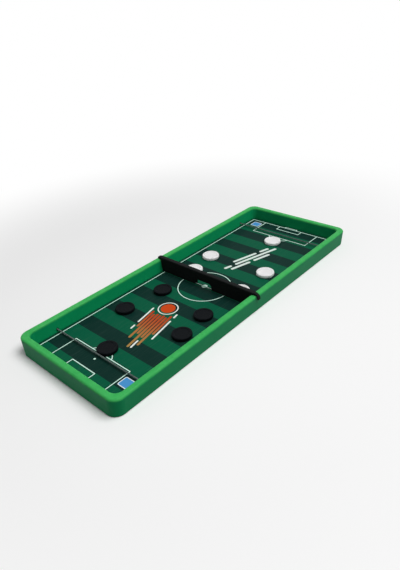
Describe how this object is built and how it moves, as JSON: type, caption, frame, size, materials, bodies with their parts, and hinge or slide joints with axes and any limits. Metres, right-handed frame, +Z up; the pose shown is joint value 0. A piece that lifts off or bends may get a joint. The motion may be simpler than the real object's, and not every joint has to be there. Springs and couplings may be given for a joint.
{
  "type": "sling puck game",
  "caption": "Tabletop sling puck game: shallow green tray with a football-pitch sheet, a lift-off divider with a gate, an elastic sling at each end and loose black and white pucks.",
  "frame": {"origin": "on the table, under the centre of the tray, at the underside of the feet", "axes": "+X across the tray to the right, +Y along the tray from the near player to the far player, +Z up"},
  "size_m": [0.1687, 0.434, 0.026],
  "materials": {
    "tray_plastic": "moulded, satin gloss green",
    "printed_sheet": "printed sheet with a satin laminate",
    "divider_plastic": "moulded, satin black",
    "black_puck_plastic": "moulded, satin black",
    "white_puck_plastic": "moulded, satin white",
    "elastic_cord": "braided elastic cord, dark grey",
    "foot_rubber": "matt rubber pad"
  },
  "bodies": {
    "base": {"tray": "tray_plastic", "playing_sheet": "printed_sheet", "near_left_sling_end": "elastic_cord", "near_right_sling_end": "elastic_cord", "far_left_sling_end": "elastic_cord", "far_right_sling_end": "elastic_cord", "foot_1": "foot_rubber", "foot_2": "foot_rubber", "foot_3": "foot_rubber", "foot_4": "foot_rubber"},
    "divider": {"divider": "divider_plastic"},
    "near_sling": {"near_sling": "elastic_cord"},
    "far_sling": {"far_sling": "elastic_cord"},
    "black_puck_1": {"black_puck_1": "black_puck_plastic"},
    "black_puck_2": {"black_puck_2": "black_puck_plastic"},
    "black_puck_3": {"black_puck_3": "black_puck_plastic"},
    "black_puck_4": {"black_puck_4": "black_puck_plastic"},
    "black_puck_5": {"black_puck_5": "black_puck_plastic"},
    "white_puck_1": {"white_puck_1": "white_puck_plastic"},
    "white_puck_2": {"white_puck_2": "white_puck_plastic"},
    "white_puck_3": {"white_puck_3": "white_puck_plastic"},
    "white_puck_4": {"white_puck_4": "white_puck_plastic"},
    "white_puck_5": {"white_puck_5": "white_puck_plastic"}
  },
  "joints": [
    {"name": "divider_lift", "type": "slide", "parent": "base", "child": "divider", "axis": [0, 0, 1], "range_m": [0, 0.045]},
    {"name": "near_sling_draw", "type": "slide", "parent": "base", "child": "near_sling", "axis": [0, -1, 0], "range_m": [0, 0.03], "stiffness_N_per_m": 120, "deforming": ["near_sling"]},
    {"name": "far_sling_draw", "type": "slide", "parent": "base", "child": "far_sling", "axis": [0, 1, 0], "range_m": [0, 0.03], "stiffness_N_per_m": 120, "deforming": ["far_sling"]},
    {"name": "black_puck_1_slide", "type": "slide", "parent": "base", "child": "black_puck_1", "axis": [0, 1, 0], "range_m": [-0.0622, 0.0165]},
    {"name": "black_puck_2_slide", "type": "slide", "parent": "base", "child": "black_puck_2", "axis": [0, 1, 0], "range_m": [-0.0165, 0.025]},
    {"name": "black_puck_3_slide", "type": "slide", "parent": "base", "child": "black_puck_3", "axis": [0, 1, 0], "range_m": [-0.009, 0.0362]},
    {"name": "black_puck_4_slide", "type": "slide", "parent": "base", "child": "black_puck_4", "axis": [0, 1, 0], "range_m": [-0.066, 0.009]},
    {"name": "black_puck_5_shot", "type": "slide", "parent": "near_sling", "child": "black_puck_5", "axis": [0, 1, 0], "range_m": [0, 0.213]},
    {"name": "white_puck_1_slide", "type": "slide", "parent": "base", "child": "white_puck_1", "axis": [0, 1, 0], "range_m": [-0.0096, 0.095]},
    {"name": "white_puck_2_slide", "type": "slide", "parent": "base", "child": "white_puck_2", "axis": [0, 1, 0], "range_m": [-0.0062, 0.0096]},
    {"name": "white_puck_3_slide", "type": "slide", "parent": "base", "child": "white_puck_3", "axis": [0, 1, 0], "range_m": [-0.064, 0.0097]},
    {"name": "white_puck_4_slide", "type": "slide", "parent": "base", "child": "white_puck_4", "axis": [0, 1, 0], "range_m": [-0.0145, 0.0904]},
    {"name": "white_puck_5_slide", "type": "slide", "parent": "base", "child": "white_puck_5", "axis": [0, 1, 0], "range_m": [-0.0005, 0.0145]}
  ]
}
